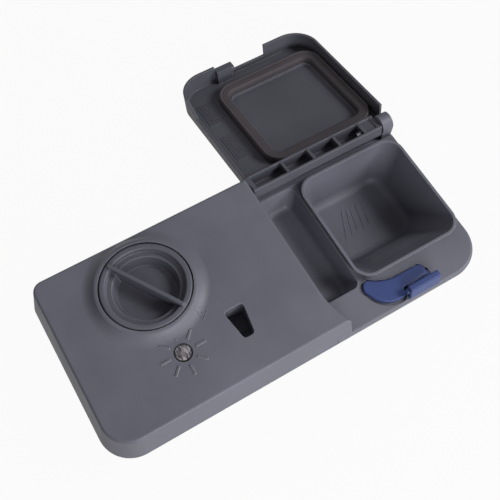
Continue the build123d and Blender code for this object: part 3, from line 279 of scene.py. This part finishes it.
finishes = {
    "front_panel": panel_plastic, "lid": shade_darkened_lid_plastic, "rinse_cap": cap_plastic, "lid_gasket": gasket_rubber,
    "latch_lever": blue_acetal, "level_lens": lens_plastic, "hinge_pins": steel, "actuator_clip": steel,
    "cap_seal": seal_rubber, "lens_seal": seal_rubber, "panel_seal": seal_rubber, "tank_plug": seal_rubber,
    "valve_pad": seal_rubber, "tank_shell": tank_plastic, "actuator_housing": ivory_plastic,
    "actuator_terminals": brass, "chassis_screws": zinc_steel, "clip_screws": zinc_steel,
    "crank_screw": zinc_steel, "latch_crank": black_nylon, "chassis_plate": black_nylon,
    "release_slide": black_nylon, "actuator_plunger": black_nylon, "dose_dial": black_nylon,
}
for name, material in finishes.items():
    nodes[name].data.materials.clear()
    nodes[name].data.materials.append(material)


# Collar round the cap: its shoulder runs out softly into the block's top

COLLAR_REACH = 8.6
COLLAR_FLAT = 1.8
COLLAR_FALL = 1.8
# Stand of the shoulder's crest, and of its foot, over the solids under them
COLLAR_SKIN = 0.05
COLLAR_EDGE = 0.015
# Where the block's back edge cuts the shoulder short: how far inside the edge, and how far it dips there
COLLAR_BACK_MARGIN = 0.7
COLLAR_BACK_DROP = 0.35
COLLAR_TURNS = 160
COLLAR_STEPS = 25
# Keeps the room finite on the sides that don't face the block's back edge
LEAST_SINE = 0.01


def collar_shoulder():
    """Surface of revolution about the cap: flat beside the groove, then a power curve that is steep at the
    crest and dies into the block's top. Its reach is cut short where the block's back edge is near."""
    turn = np.linspace(0, 2 * np.pi, COLLAR_TURNS, endpoint=False)
    step = np.linspace(0, 1, COLLAR_STEPS)[:, None]
    full = CAP_HOLE_RADIUS + COLLAR_REACH
    room = (BLOCK_BACK_Y - COLLAR_BACK_MARGIN - CAP_Y) / np.maximum(np.sin(turn), LEAST_SINE)
    reach = np.minimum(full, room)
    start = CAP_HOLE_RADIUS + COLLAR_FLAT
    top = BLOCK_TOP + CAP_RISE + COLLAR_SKIN
    foot = BLOCK_TOP + np.where(reach < full, -COLLAR_BACK_DROP, COLLAR_EDGE)
    inner = np.full((1, COLLAR_TURNS), CAP_HOLE_RADIUS + COLLAR_SKIN)
    crest = np.full((1, COLLAR_TURNS), top)
    radius = np.concatenate((inner, start + (reach - start) * step))
    height = np.concatenate((crest, foot + (top - foot) * (1 - step) ** COLLAR_FALL))
    points = np.stack((CAP_X + radius * np.cos(turn), CAP_Y + radius * np.sin(turn), height), axis=-1)
    faces = grid_faces(*radius.shape, closed=True)[:, ::-1]
    return surface("collar_shoulder", points, faces, "panel", panel_plastic)


collar_shoulder()


# Half-round ridges, for marks and fine lines moulded on the panel

RIDGE_TURNS = 9
TAPER_POWER = 8


def half_round(start, end, side, up, size):
    """Ridges along straight lines: at each step along a line, a half circle of the size given for that step,
    with its cosine to the side and its sine upwards. Gives the points, by line, step and turn, and faces."""
    step = np.linspace(0, 1, len(size))[:, None]
    turn = np.linspace(0, np.pi, RIDGE_TURNS)[:, None]
    line = start[:, None, :] + (end - start)[:, None, :] * step
    arc = np.cos(turn) * side[:, None, :] + np.sin(turn) * up
    points = line[:, :, None, :] + size[:, None, None] * arc[:, None, :, :]
    one = grid_faces(len(size), RIDGE_TURNS)[:, ::-1]
    first = np.arange(len(start)) * len(size) * RIDGE_TURNS
    return points, (one + first[:, None, None]).reshape(-1, 4)


def tapered(radius, steps):
    """Size at each step along a ridge: full for most of its run, falling to nothing at both ends."""
    share = np.linspace(-1, 1, steps)
    return radius * np.sqrt(1 - share ** TAPER_POWER)


def lines_in_plan(lines, height):
    """Starts, ends and sides, a quarter turn to the right, of lines that are drawn in plan at a height."""
    start, end = np.insert(lines, 2, height, axis=-1).swapaxes(0, 1)
    along = (end - start) / np.linalg.norm(end - start, axis=1, keepdims=True)
    return start, end, np.cross(along, UP)


# Marks moulded on the shoulder: the cap's arrow, and the ray of the lens's sun that runs up it

MARK_RADIUS = 0.22
MARK_STEPS = 13
MARK_STROKES = np.array([
    ((-43.0, -2.5), (-41.6, -10.0)), ((-41.6, -10.0), (-37.0, -5.9)), ((-37.0, -5.9), (-43.0, -2.5)),
    ((-62.4, -12.2), (-63.7, -9.0)),
])


def shoulder_marks():
    """Half-round ridges along straight strokes in plan, each lifted to the shoulder's curve under it."""
    start, end, side = lines_in_plan(MARK_STROKES, BLOCK_TOP)
    points, faces = half_round(start, end, side, UP, np.full(MARK_STEPS, MARK_RADIUS))
    out = np.hypot(points[..., 0] - CAP_X, points[..., 1] - CAP_Y) - CAP_HOLE_RADIUS - COLLAR_FLAT
    fall = np.clip(1 - out / (COLLAR_REACH - COLLAR_FLAT), 0, 1)
    points[..., 2] += CAP_RISE * fall ** COLLAR_FALL
    return surface("shoulder_marks", points, faces, "panel", panel_plastic)


shoulder_marks()


# Lever with its moulded edges rounded

LEVER_VOXEL = 0.3
LEVER_RELAX = 0.5
LEVER_ROUNDS = 14
WELD = 0.001
# Root that joins the thumb tab to the tongue: left, right, front, back, bottom and top
TAB_ROOT = (65.5, 80.6, -47.5, -42.0, DECK_TOP, 11.7)


def rounded_lever():
    """Copy of the lever's solid, welded, joined to the tab's root, then rebuilt on a fine grid of voxels and
    relaxed, so that its edges roll over."""
    mesh = nodes["latch_lever"].data.copy()
    mesh.name = "rounded_lever"
    shape = bmesh.new()
    shape.from_mesh(mesh)
    bmesh.ops.remove_doubles(shape, verts=shape.verts, dist=WELD * MM)
    root_low, root_high = Vector(TAB_ROOT[0::2]) * MM, Vector(TAB_ROOT[1::2]) * MM
    place = Matrix.LocRotScale((root_low + root_high) / 2, None, root_high - root_low)
    bmesh.ops.create_cube(shape, size=1.0, matrix=place)
    shape.to_mesh(mesh)
    shape.free()
    piece = in_scene("rounded_lever", mesh)
    rebuilt = piece.modifiers.new("voxels", "REMESH")
    rebuilt.mode = "VOXEL"
    rebuilt.voxel_size = LEVER_VOXEL * MM
    rebuilt.use_smooth_shade = True
    relaxed = piece.modifiers.new("relax", "SMOOTH")
    relaxed.factor = LEVER_RELAX
    relaxed.iterations = LEVER_ROUNDS
    graph = bpy.context.evaluated_depsgraph_get()
    piece.data = bpy.data.meshes.new_from_object(piece.evaluated_get(graph))
    piece.modifiers.clear()
    piece.data.materials.clear()
    piece.data.materials.append(blue_acetal)
    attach(piece, "latch")
    return piece


lever = rounded_lever()
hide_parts("latch_lever")


def lid_point(x, v, w):
    """Points of the open lid from x, the run v away from the hinge and the height w towards its inside."""
    y = HINGE_Y + v * math.cos(LID_TILT) + w * math.sin(LID_TILT)
    z = HINGE_Z - v * math.sin(LID_TILT) + w * math.cos(LID_TILT)
    return np.stack(np.broadcast_arrays(x, y, z), axis=-1)


# Gasket on the lid: a soft ring whose outer edge stands up as a lip

GASKET_LEFT = 39.8
GASKET_RIGHT = 112.4
GASKET_NEAR = 8.0
GASKET_FAR = 82.2
GASKET_RADIUS = 12.0
CORNER_POINTS = 17
# Section across the ring: distance in from its outer edge, and height over the lid's inner face
GASKET_SECTION = np.array([
    (0.0, 0.0), (0.0, 3.8), (0.1, 4.8), (0.4, 5.5), (0.8, 5.8), (1.2, 5.7),
    (1.6, 5.4), (2.1, 5.25), (2.7, 5.3), (3.3, 5.35), (3.9, 5.2), (4.5, 5.1),
    (5.1, 5.1), (5.7, 4.95), (6.2, 4.6), (6.6, 3.9), (6.8, 3.0), (6.8, 0.0),
])


def lipped_gasket():
    """Section carried round a rounded rectangle: each corner is an arc, whose radius shrinks by the distance
    in from the ring's outer edge."""
    quarter = np.linspace(0, np.pi / 2, CORNER_POINTS)
    turn = np.concatenate([quarter + corner * np.pi / 2 for corner in range(4)])
    left, right = GASKET_LEFT + GASKET_RADIUS, GASKET_RIGHT - GASKET_RADIUS
    near, far = GASKET_NEAR + GASKET_RADIUS, GASKET_FAR - GASKET_RADIUS
    inward, height = GASKET_SECTION[:, :1], GASKET_SECTION[:, 1:]
    x = np.repeat([right, left, left, right], CORNER_POINTS) + (GASKET_RADIUS - inward) * np.cos(turn)
    v = np.repeat([far, far, near, near], CORNER_POINTS) + (GASKET_RADIUS - inward) * np.sin(turn)
    points = lid_point(x, v, LID_INNER_W + height)
    faces = grid_faces(len(GASKET_SECTION), len(turn), closed=True)
    return surface("gasket_ring", points, faces, "lid", gasket_rubber)


gasket = lipped_gasket()
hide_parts("lid_gasket")


# Ribbed patches on the lid's inner face, left of the gasket

RIB_PITCH = 1.5
RIB_HEIGHT = 0.54
RIB_SINK = 0.05
RIB_FADE = 1.0
RIB_LEFT = 26.0
RIB_RIGHT = 38.0
# Run of each patch's ribs, from the end near the hinge to the far end
RIB_RUNS = {"lid_ribs_near": (25.5, 48.5), "lid_ribs_far": (58.8, 79.5)}
POINTS_PER_RIB = 10
RIB_STEPS = 25


def ribbed_patch(name, near, far):
    """Parallel ribs on the lid: the height is a raised cosine across the patch, faded to nothing at the ribs'
    ends."""
    across = np.linspace(RIB_LEFT, RIB_RIGHT, int((RIB_RIGHT - RIB_LEFT) / RIB_PITCH * POINTS_PER_RIB) + 1)
    v, x = np.meshgrid(np.linspace(near, far, RIB_STEPS), across, indexing="ij")
    ends = np.clip(np.minimum(v - near, far - v) / RIB_FADE, 0, 1)
    ridge = 0.5 - 0.5 * np.cos(2 * np.pi * (x - RIB_LEFT) / RIB_PITCH)
    points = lid_point(x, v, LID_INNER_W - RIB_SINK + RIB_HEIGHT * ridge * ends)
    return surface(name, points, grid_faces(*x.shape), "lid", shade_darkened_lid_plastic)


for name, (near, far) in RIB_RUNS.items():
    ribbed_patch(name, near, far)


# Fan of fine moulded lines on the cup's floor

FAN_RADIUS = 0.3
FAN_STEPS = 13
FAN_LINES = np.array([
    ((72.0, 24.7), (62.5, 3.7)), ((74.6, 24.1), (67.6, 4.8)), ((77.1, 23.4), (72.0, 5.9)),
    ((80.9, 23.7), (76.4, 5.0)), ((84.5, 22.4), (80.9, 6.2)),
])


def floor_fan():
    """Half-round ridges along straight lines on the cup's floor, tapered at their ends."""
    start, end, side = lines_in_plan(FAN_LINES, CUP_FLOOR_Z)
    points, faces = half_round(start, end, side, UP, tapered(FAN_RADIUS, FAN_STEPS))
    return surface("cup_floor_fan", points, faces, "panel", panel_plastic)


floor_fan()


# Cut facets on the lens's face

LENS_FACETS = 9
LENS_CROWN = 0.45
# Shares of the lens's radius at which the facets meet, from the rim to the middle
LENS_RINGS = np.array([0.92, 0.62, 0.3, 0.0])


def lens_facets():
    """Low crown of flat facets: rings of points on a parabola, each ring turned half a facet from the last,
    closing on the point in the middle."""
    turn = 2 * np.pi * np.arange(LENS_FACETS) / LENS_FACETS
    shift = np.pi / LENS_FACETS * (np.arange(len(LENS_RINGS)) % 2)
    angle = turn + shift[:, None]
    share = np.broadcast_to(LENS_RINGS[:, None], angle.shape)
    height = BLOCK_TOP + LENS_STAND + LENS_CROWN * (LENS_RINGS[0] ** 2 - share ** 2)
    radius = LENS_RADIUS * share
    points = np.stack((LENS_X + radius * np.cos(angle), LENS_Y + radius * np.sin(angle), height), axis=-1)
    quads = grid_faces(*angle.shape, closed=True)
    triangles = np.concatenate((quads[:, [0, 1, 2]], quads[:, [0, 2, 3]]))
    return surface("lens_facets", points, triangles, "panel", lens_plastic, smooth=False)


lens_facets()


# Fine moulded lines across the cup's front ramp

# Points of the ramp at its foot and its head, with X at the lines' left ends
RAMP_FOOT = np.array([58.0, -9.6, -15.6])
RAMP_HEAD = np.array([58.0, -28.7, 13.5])
RAMP_LINE_RADIUS = 0.13
RAMP_LINE_STEPS = 17
RAMP_LINE_RUN = np.array([44.0, 0.0, 0.0])
RAMP_SHARES = np.array([0.15, 0.24, 0.31, 0.40, 0.47, 0.56, 0.66])


def ramp_lines():
    """Half-round ridges along X at shares of the way up the ramp, standing square to it and tapered at their
    ends."""
    slope = RAMP_HEAD - RAMP_FOOT
    up_ramp = slope / np.linalg.norm(slope)
    off_ramp = np.array([0.0, up_ramp[2], -up_ramp[1]])
    start = RAMP_FOOT + RAMP_SHARES[:, None] * slope
    side = np.broadcast_to(up_ramp, start.shape)
    points, faces = half_round(start, start + RAMP_LINE_RUN, side, off_ramp,
                               tapered(RAMP_LINE_RADIUS, RAMP_LINE_STEPS))
    return surface("cup_ramp_lines", points, faces, "panel", panel_plastic)


ramp_lines()


# Floor, light and camera: places and lengths in metres, but for the camera's

WHITE = linear("ffffff")
FLOOR_REACH = 3.0
FLOOR_GAP = 0.0002
FLOOR_GREY = "8c8c8c"
FLOOR_ROUGHNESS = 0.9
# Share of plain white in what the camera sees of the floor
FLOOR_WHITE = 0.95


def pale_floor():
    """Matt studio card: near white to the camera, so that the picture's ground stays light under the soft
    shadow, and clear from below, so that the part's back can be seen."""
    material, tree, shader = new_material("matt studio card")
    feed(tree, shader, {"Base Color": linear(FLOOR_GREY), "Roughness": FLOOR_ROUGHNESS})
    rays = add(tree, "ShaderNodeLightPath").outputs
    seen = rays["Is Camera Ray"]
    for kind in ("Is Glossy Ray", "Is Transmission Ray"):
        seen = add(tree, "ShaderNodeMath", {0: seen, 1: rays[kind]}, operation="MAXIMUM").outputs["Value"]
    share = add(tree, "ShaderNodeMath", {0: seen, 1: FLOOR_WHITE}, operation="MULTIPLY")
    white = add(tree, "ShaderNodeEmission", {"Color": WHITE, "Strength": 1.0})
    mixed = add(tree, "ShaderNodeMixShader", {0: share.outputs["Value"], 1: shader.outputs["BSDF"],
                                              2: white.outputs["Emission"]})
    below = add(tree, "ShaderNodeNewGeometry").outputs["Backfacing"]
    clear = add(tree, "ShaderNodeBsdfTransparent")
    sided = add(tree, "ShaderNodeMixShader", {0: below, 1: mixed.outputs["Shader"], 2: clear.outputs["BSDF"]})
    feed(tree, tree.nodes["Material Output"], {"Surface": sided.outputs["Shader"]})
    return material


floor_z = cad_low.z - FLOOR_GAP
floor_mesh = bpy.data.meshes.new("floor")
floor_mesh.from_pydata(
    [(x * FLOOR_REACH, y * FLOOR_REACH, floor_z) for x, y in ((-1, -1), (1, -1), (1, 1), (-1, 1))],
    [], [(0, 1, 2, 3)],
)
floor_mesh.materials.append(pale_floor())
floor = in_scene("floor", floor_mesh)

# Each lamp's place, watts and side
LAMPS = {
    "key": ((0.82, -0.36, 0.84), 11.0, 0.4),
    "front fill": ((0.0, -0.56, 0.25), 3.4, 0.35),
    "back fill": ((-0.25, 0.95, 0.45), 1.0, 0.5),
}


def soft_lamp(name, place, watts, side):
    """Square area lamp at a place, turned to face the origin."""
    lamp = bpy.data.lights.new(name, "AREA")
    lamp.energy = watts
    lamp.size = side
    holder = in_scene(name, lamp)
    holder.location = place
    holder.rotation_mode = "QUATERNION"
    holder.rotation_quaternion = (-Vector(place)).to_track_quat("-Z", "Y")


for name, (place, watts, side) in LAMPS.items():
    soft_lamp(name, place, watts, side)

# Strength of the surroundings as light, and as the camera sees them
SKY_LIGHT = 0.2
SKY_SEEN = 1.0

world = bpy.data.worlds.new("studio")
world.use_nodes = True
sky = world.node_tree
rays = add(sky, "ShaderNodeLightPath").outputs
strength = add(sky, "ShaderNodeMapRange", {"Value": rays["Is Camera Ray"], "To Min": SKY_LIGHT,
                                           "To Max": SKY_SEEN})
feed(sky, sky.nodes["Background"], {"Color": WHITE, "Strength": strength.outputs["Result"]})
bpy.context.scene.world = world
bpy.context.scene.view_settings.view_transform = "Standard"

# Camera, as the photograph was taken: angles in degrees, lengths in millimetres
CAMERA_AZIMUTH = -33.36
CAMERA_ELEVATION = 65.2
CAMERA_ROLL = 3.19
CAMERA_DISTANCE = 430.8
CAMERA_TARGET = (3.36, 18.78, SEAT)
CAMERA_LENS = 55.44
CAMERA_SENSOR = 36.0
CAMERA_NEAREST = 10.0


def photo_camera():
    """Camera at the photograph's azimuth, elevation and roll, facing the target from the fitted distance."""
    azimuth, elevation, roll = (math.radians(a) for a in (CAMERA_AZIMUTH, CAMERA_ELEVATION, CAMERA_ROLL))
    back = Vector((math.sin(azimuth) * math.cos(elevation), -math.cos(azimuth) * math.cos(elevation),
                   math.sin(elevation)))
    right = Vector(UP).cross(back).normalized()
    up = back.cross(right)
    rolled_right = math.cos(roll) * right + math.sin(roll) * up
    rolled_up = math.cos(roll) * up - math.sin(roll) * right
    camera = bpy.data.cameras.new("camera")
    camera.lens = CAMERA_LENS
    camera.sensor_width = CAMERA_SENSOR
    camera.clip_start = CAMERA_NEAREST * MM
    holder = in_scene("camera", camera)
    place = (Vector(CAMERA_TARGET) + back * CAMERA_DISTANCE) * MM
    turn = Matrix((rolled_right, rolled_up, back)).transposed().to_4x4()
    holder.matrix_world = Matrix.Translation(place) @ turn
    bpy.context.scene.camera = holder


photo_camera()
